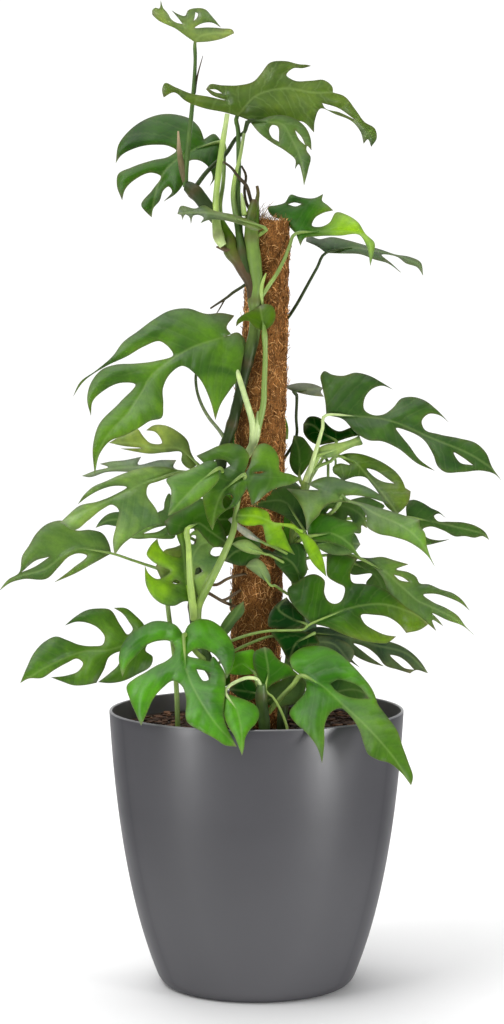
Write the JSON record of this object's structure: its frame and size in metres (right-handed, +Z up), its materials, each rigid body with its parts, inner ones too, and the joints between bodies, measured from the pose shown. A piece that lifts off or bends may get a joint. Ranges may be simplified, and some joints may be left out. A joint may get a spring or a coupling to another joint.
{
  "type": "potted mini monstera",
  "caption": "Potted climbing plant with deeply split leaves on thin stalks, tied to an upright coir pole in a smooth round grey planter that widens toward the rim.",
  "frame": {"origin": "middle of the flat foot of the planter, on the surface that it stands on", "axes": "+Z up, the front of the plant along -Y, +X to the viewer's right"},
  "size_m": [0.4908, 0.3587, 0.9775],
  "materials": {
    "pot": "smooth satin moulded plastic, mid grey",
    "soil": "damp dark potting mix with bark chips",
    "coir": "rough brown coconut fibre wound on a stake",
    "stake": "raw sawn end, grey brown",
    "stem": "smooth green stems with paler joints and brown nodes",
    "leaf_deep": "satin deep green leaf",
    "leaf_mid": "satin mid green leaf with paler veins",
    "leaf_lime": "young yellow-green leaf",
    "leaf_grey": "leaf seen at a glancing angle, grey-green with a soft shine",
    "leaf_dry": "old leaf, brown and dull"
  },
  "bodies": {
    "root": {"pot": "pot", "soil": "soil", "coir_pole": "coir", "pole_stake": "stake", "main_vine": "stem", "right_vine": "stem", "back_vine": "stem", "front_stem": "stem", "leaf_top": "leaf_mid", "leaf_crown": "leaf_mid", "leaf_crown_front": "leaf_mid", "leaf_upper_left": "leaf_deep", "leaf_upper_edge": "leaf_grey", "leaf_upper_right": "leaf_mid", "leaf_right_edge": "leaf_grey", "leaf_pole_young": "leaf_mid", "leaf_big_left": "leaf_deep", "leaf_olive_left": "leaf_mid", "leaf_left_edge": "leaf_grey", "leaf_long_left": "leaf_mid", "leaf_far_left": "leaf_deep", "leaf_left_slit": "leaf_deep", "leaf_centre": "leaf_deep", "leaf_centre_left": "leaf_mid", "leaf_low_centre": "leaf_deep", "leaf_between": "leaf_mid", "leaf_crescents": "leaf_lime", "leaf_behind_crescents": "leaf_deep", "leaf_lime_young": "leaf_lime", "leaf_dark_centre": "leaf_deep", "leaf_grey_right": "leaf_grey", "leaf_dark_slits": "leaf_deep", "leaf_right_mid": "leaf_deep", "leaf_olive_right": "leaf_deep", "leaf_big_right": "leaf_deep", "leaf_round_dark": "leaf_deep", "leaf_brown_edge": "leaf_deep", "leaf_far_right": "leaf_deep", "leaf_claw_right": "leaf_mid", "leaf_low_right": "leaf_mid", "leaf_shade_right": "leaf_deep", "leaf_low_slits": "leaf_deep", "leaf_low_left": "leaf_deep", "leaf_front_left": "leaf_mid", "leaf_lime_front": "leaf_lime", "leaf_heart": "leaf_deep", "leaf_front_right": "leaf_mid", "leaf_shade_low": "leaf_deep", "leaf_shade_mid": "leaf_deep", "leaf_shade_left": "leaf_mid", "leaf_shade_front": "leaf_deep", "leaf_shade_dark": "leaf_deep", "leaf_back_high": "leaf_mid", "leaf_back_middle": "leaf_mid", "leaf_back_side": "leaf_mid", "leaf_back_low": "leaf_mid", "leaf_back_foot": "leaf_mid", "leaf_back_top": "leaf_mid"}
  },
  "joints": []
}
